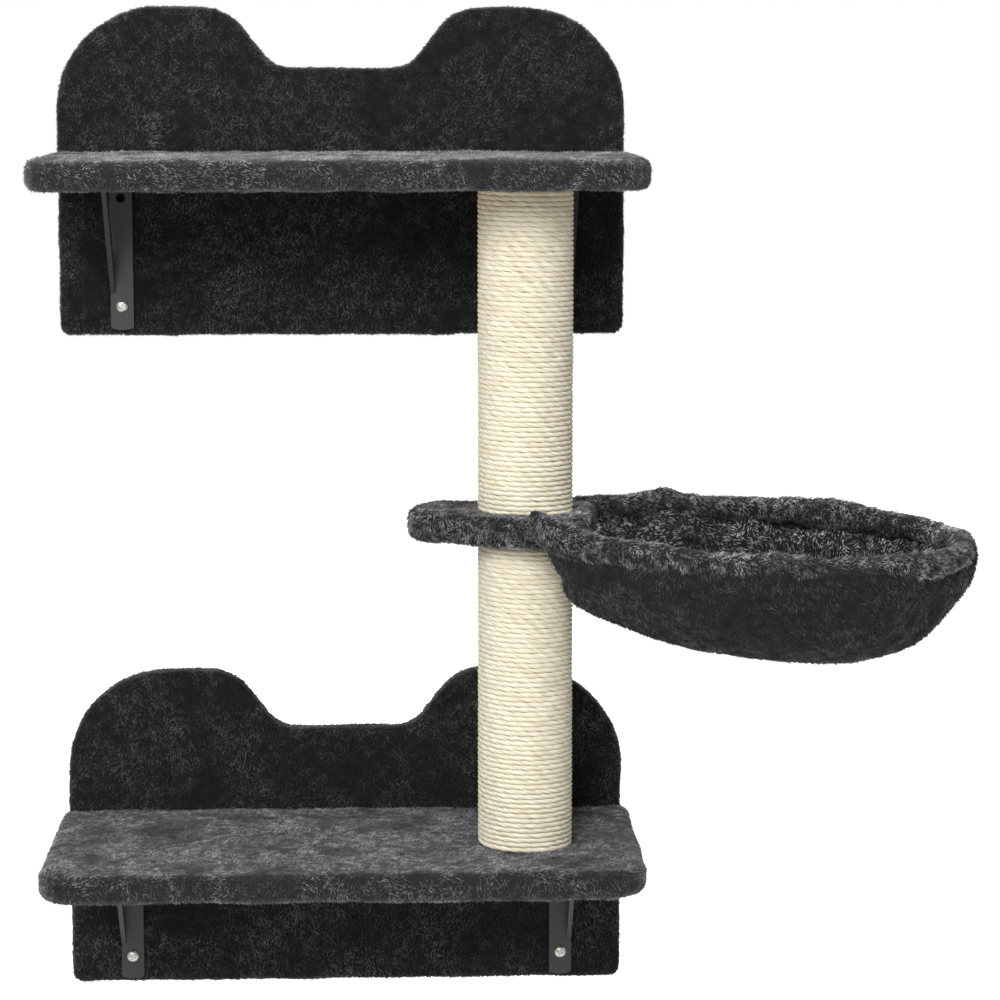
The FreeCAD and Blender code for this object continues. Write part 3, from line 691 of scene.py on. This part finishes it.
# ------------------------------------------------------------------ hammock
def hammock_axes(points):
    """How far points lie along the hammock and across it from the post, and below its hoop."""
    swing, droop, roll = (math.radians(angle)
                          for angle in (HAMMOCK_SWING, HAMMOCK_DROOP, HAMMOCK_ROLL))
    flat = points[:, :2] - np.array(SWIVEL[:2])
    along_it = flat @ np.array((math.cos(swing), -math.sin(swing)))
    across = flat @ np.array((math.sin(swing), math.cos(swing)))
    hoop_z = SWIVEL.z - along_it * math.tan(droop) + across * math.tan(roll)
    return along_it, across, hoop_z - points[:, 2]


def round_the_hoop(points, stretch):
    """Points as noise coordinates that change fast round the hoop and slowly up and down."""
    along_it, across, below = hammock_axes(points)
    angle = np.arctan2(across, along_it - HOOP_MIDDLE)
    return np.stack([0.15 * np.cos(angle), 0.15 * np.sin(angle), below * stretch], 1)


def from_the_middle(points, normals):
    """Above zero on the pouch's outside and below zero on its inside."""
    return ((points - POUCH_MIDDLE) * normals).sum(1)


def shape_hem(hem):
    """Puckers, soft lumps, the gathered ear at the plate and the humps of the far side."""
    hammock = bpy.context.scene.cat_tree_hammock
    points, normals = points_of(hem), points_of(hem, "normal")
    along_it, across, _ = hammock_axes(points)
    near = across < 0
    from_end = along_it - along_it[near].min()
    top = (1 + normals[:, 2]) / 2
    puckers = hammock.pucker * smooth_noise(round_the_hoop(points, 0.25), 0.009, 3)
    lumps = 0.0024 * smooth_noise(points, 0.045, 4)
    points += normals * (puckers + lumps)[:, None]
    ear = hammock.ear * np.exp(-from_end / 0.048) * top * near
    humps = (0.007 * bell(along_it, 0.109, 0.016) + 0.004 * bell(along_it, 0.232, 0.035)) * top
    points[:, 2] += ear + humps * ~near
    points[:, 0] -= 0.75 * ear
    points[:, 1] -= 0.35 * ear
    set_points(hem, points)


def shape_pouch(pouch):
    """Folds down the sides, a fuller top under the hem and the rolled fold on the far wall."""
    hammock = bpy.context.scene.cat_tree_hammock
    points, normals = points_of(pouch), points_of(pouch, "normal")
    along_it, across, below = hammock_axes(points)
    away = np.sign(from_the_middle(points, normals))[:, None] * normals
    # The cloth is free to fold away from the plate and above the pouch's floor.
    free = np.clip((along_it - 0.07) / 0.05, 0, 1) * np.clip((0.083 - below) / 0.05, 0, 1)
    far = bell(across, 0.13, 0.07) * free
    folds = hammock.fold * smooth_noise(round_the_hoop(points, 0.35), 0.030, 8) * free
    sag = 0.0025 * smooth_noise(points, 0.06, 9)
    full = 0.0065 * bell(below, 0.012, 0.022) * free
    roll = -0.010 * bell(below, 0.026, 0.011) * far
    creases = ((0.100, 0.9), (0.128, -0.7), (0.185, 0.8), (0.297, 1.0), (0.318, 0.9))
    for place, lean in creases:
        roll = roll - 0.006 * bell(along_it - lean * (below - 0.02), place, 0.0065) * far
    # The near side is drawn towards the plate, and the top edge goes up into the hem.
    drawn = (0.030 * bell(below, 0.050, 0.032) * np.clip((0.14 - along_it) / 0.06, 0, 1)
             * np.clip((-across - 0.03) / 0.03, 0, 1))
    points[:, 0] -= drawn
    points += away * (folds + sag + full + roll)[:, None]
    points[:, 2] += 0.011 * np.clip((0.023 - below) / 0.009, 0, 1)
    set_points(pouch, points)


def pouch_painted_light_and_shade(points, normals):
    """Painted light and shade on the pouch's pile: lighter inside, where the light falls in, and darker on the
    hanging outside, where shade falls.
    """
    return np.where(from_the_middle(points, normals) < 0, 2.2, 0.17)


# ------------------------------------------------------------------ operators
class CATTREE_OT_studio(bpy.types.Operator):
    """Camera, white surroundings, floor and soft lights"""
    bl_idname = "cattree.studio"
    bl_label = "Studio"

    def execute(self, context):
        studio = context.scene.cat_tree_studio
        deselect()
        bpy.ops.object.camera_add(
            location=CAMERA_PLACE, rotation=(math.pi / 2 - CAMERA_DOWN, 0.0, -CAMERA_RIGHT))
        camera = context.object
        camera.name = "studio_camera"
        camera.data.lens = CAMERA_LENS
        camera.data.sensor_width = CAMERA_SENSOR
        context.scene.camera = camera

        world = bpy.data.worlds.new("white surroundings")
        context.scene.world = world
        world.use_nodes = True
        nodes = Nodes(world.node_tree)
        seen = nodes.add("ShaderNodeLightPath").outputs["Is Camera Ray"]
        strength = nodes.remap(seen, 0.0, 1.0, studio.ambient, 1.0)
        background = nodes.add("ShaderNodeBackground", {"Color": grey(1.0), "Strength": strength})
        nodes.add("ShaderNodeOutputWorld", {"Surface": background.outputs["Background"]})

        for name, place, aim, size, power in (
                ("key_light", (-0.7, -3.0, 1.6), (0.0, -0.1, 0.0), 1.6, studio.key),
                ("top_light", (0.2, -0.8, 2.4), (0.1, -0.1, 0.0), 1.4, studio.top)):
            bpy.ops.object.light_add(type="AREA", location=place)
            light = context.object
            light.name = name
            light.data.shape = "DISK"
            light.data.size = size
            light.data.energy = power
            towards = Vector(aim) - Vector(place)
            light.rotation_euler = towards.to_track_quat("-Z", "Y").to_euler()

        bpy.ops.mesh.primitive_plane_add(size=30.0, location=(0.0, 0.0, studio.floor_drop))
        floor = context.object
        floor.name = "studio_floor"
        make_active(floor)
        bpy.ops.object.transform_apply(location=True)
        floor.data.materials.append(material("studio white"))
        context.scene.view_settings.view_transform = "Standard"
        return {"FINISHED"}


class CATTREE_OT_hard_parts(bpy.types.Operator):
    """Finishes for the boards, brackets, tubes, plugs, bolts and wire"""
    bl_idname = "cattree.hard_parts"
    bl_label = "Boards and metal"

    def execute(self, context):
        finishes = {
            "board": "board wood", "bracket_black": "black powder coat", "zinc": "zinc plate",
            "tube": "cardboard", "plug": "moulded plastic", "wire": "coated wire",
            "plush": "wall plush", "sisal": "sisal rope"}
        for part in frame["record"]["subparts"]:
            for slot in frame["nodes"][part["node"]].material_slots:
                slot.material = material(finishes[part["material_slot"]])
        return {"FINISHED"}


class CATTREE_OT_wall_covers(bpy.types.Operator):
    """Plush over the two wall boards"""
    bl_idname = "cattree.wall_covers"
    bl_label = "Wall board covers"

    def execute(self, context):
        for number, tier in enumerate(TIERS):
            cover, pile = cover_with_plush(
                tier + "_wall_plush", tier + "_wall_board_cover", "frame", "wall plush",
                along(0.15, 0.0, -1.0), 64000, 11 + number, behind=[tier + "_wall_board"],
                length=0.78, patches=hole_plugs(tier))
        return {"FINISHED"}


class CATTREE_OT_shelf_covers(bpy.types.Operator):
    """Plush over the two shelves"""
    bl_idname = "cattree.shelf_covers"
    bl_label = "Shelf covers"

    def execute(self, context):
        for number, tier in enumerate(TIERS):
            cover, pile = cover_with_plush(
                tier + "_shelf_plush", tier + "_shelf_cover", "frame", "shelf plush",
                over_the_edge, 62000, 21 + number, behind=[tier + "_shelf_board"],
                lump=0.0016, lump_size=0.045, length=0.8)
        return {"FINISHED"}


class CATTREE_OT_screws(bpy.types.Operator):
    """Pan head screws with a cross recess in the legs of the brackets"""
    bl_idname = "cattree.screws"
    bl_label = "Leg screws"

    def execute(self, context):
        for tier in TIERS:
            node = tier + "_leg_screws"
            screws = skin_of(tier + "_cross_head_screws", node)
            low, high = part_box(node)
            cutter = cross_cutter([(hole.x, low.y, (low.z + high.z) / 2)
                                   for hole in wall_holes(tier)])
            apply_modifier(screws, "BOOLEAN", object=cutter, operation="DIFFERENCE",
                           solver="EXACT")
            bpy.data.objects.remove(cutter)
            finish_piece(screws, "frame", "zinc", "zinc plate", node)
        return {"FINISHED"}


class CATTREE_OT_ropes(bpy.types.Operator):
    """Sisal rope wound round the two posts"""
    bl_idname = "cattree.ropes"
    bl_label = "Rope wound posts"

    def execute(self, context):
        rope = context.scene.cat_tree_rope
        for number, tier in enumerate(TIERS):
            node = tier + "_post_rope"
            low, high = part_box(node)
            radius = (high.x - low.x) / 2 - rope.diameter / 2
            rise = high.z - low.z - rope.diameter
            turns = round(rise / rope.diameter)
            pitch = rise / turns
            length = turns * math.hypot(2 * math.pi * radius, pitch)
            strand = rope_strand(tier + "_sisal_winding", ROPE_PRESS * pitch / 2, length,
                                 round(length / rope.lay))
            path = winding_path(tier + "_winding_path", (low + high) / 2,
                                low.z + rope.diameter / 2, radius, pitch, turns)
            apply_modifier(strand, "CURVE", object=path, deform_axis="POS_Z")
            curve = path.data
            bpy.data.objects.remove(path)
            bpy.data.curves.remove(curve)

            # Loose fibres swell the rope here and there, and its turns wander a little.
            points, normals = points_of(strand), points_of(strand, "normal")
            points += normals * (0.00030 * smooth_noise(points, 0.0055, 61 + number))[:, None]
            points[:, 2] += 0.00025 * smooth_noise(points, 0.018, 63 + number)
            set_points(strand, points)
            finish_piece(strand, "frame", "sisal", "sisal rope", node)
        return {"FINISHED"}


class CATTREE_OT_hammock(bpy.types.Operator):
    """The hammock's plate cover, hem and pouch"""
    bl_idname = "cattree.hammock"
    bl_label = "Hammock"

    def execute(self, context):
        comb = along(0.5, 0.1, -0.8)
        plate, pile = cover_with_plush(
            "plate_plush", "hammock_plate_cover", "hammock", "hammock plush", comb, 18000, 31,
            behind=["hammock_plate"], mesh=0.0022, lump=0.0014)

        hem, pile = cover_with_plush(
            "hammock_hem", "hammock_rim_casing", "hammock", "hammock plush", comb, 30000, 41,
            behind=["hammock_hoop"], mesh=0.0022, shape=shape_hem)

        # The pouch's wall is thin at its neck, and a coarser mesh would leave holes there.
        # Its pile is lightened inside and darkened outside: painted light and shade.
        pouch, pile = cover_with_plush(
            "hammock_pouch_plush", "hammock_pouch", "hammock", "hammock plush", comb, 62000, 51,
            mesh=0.002, length=1.1, shape=shape_pouch, sink=0.0, shade=pouch_painted_light_and_shade)
        return {"FINISHED"}


class CATTREE_PT_panel(bpy.types.Panel):
    """Lists the tree's pieces in the sidebar"""
    bl_idname = "CATTREE_PT_panel"
    bl_label = "Cat Tree"
    bl_space_type = "VIEW_3D"
    bl_region_type = "UI"
    bl_category = "Cat Tree"

    def draw(self, context):
        for operator in OPERATORS:
            self.layout.operator(operator.bl_idname)
        for group in SETTINGS:
            settings = getattr(context.scene, "cat_tree_" + group)
            box = self.layout.box()
            for name in settings.__annotations__:
                box.prop(settings, name)


SETTINGS = {"plush": PlushSettings, "rope": RopeSettings, "hammock": HammockSettings,
            "studio": StudioSettings}
OPERATORS = (CATTREE_OT_studio, CATTREE_OT_hard_parts, CATTREE_OT_wall_covers,
             CATTREE_OT_shelf_covers, CATTREE_OT_screws, CATTREE_OT_ropes, CATTREE_OT_hammock)


def register():
    for cls in (*SETTINGS.values(), *OPERATORS, CATTREE_PT_panel):
        bpy.utils.register_class(cls)
    for name, cls in SETTINGS.items():
        setattr(bpy.types.Scene, "cat_tree_" + name, bpy.props.PointerProperty(type=cls))


def unregister():
    for name in SETTINGS:
        delattr(bpy.types.Scene, "cat_tree_" + name)
    for cls in (CATTREE_PT_panel, *reversed(OPERATORS), *reversed(SETTINGS.values())):
        bpy.utils.unregister_class(cls)


def main():
    register()
    bpy.ops.cattree.studio()
    bpy.ops.cattree.hard_parts()
    bpy.ops.cattree.wall_covers()
    bpy.ops.cattree.shelf_covers()
    bpy.ops.cattree.screws()
    bpy.ops.cattree.ropes()
    bpy.ops.cattree.hammock()


if __name__ == "__main__":
    main()
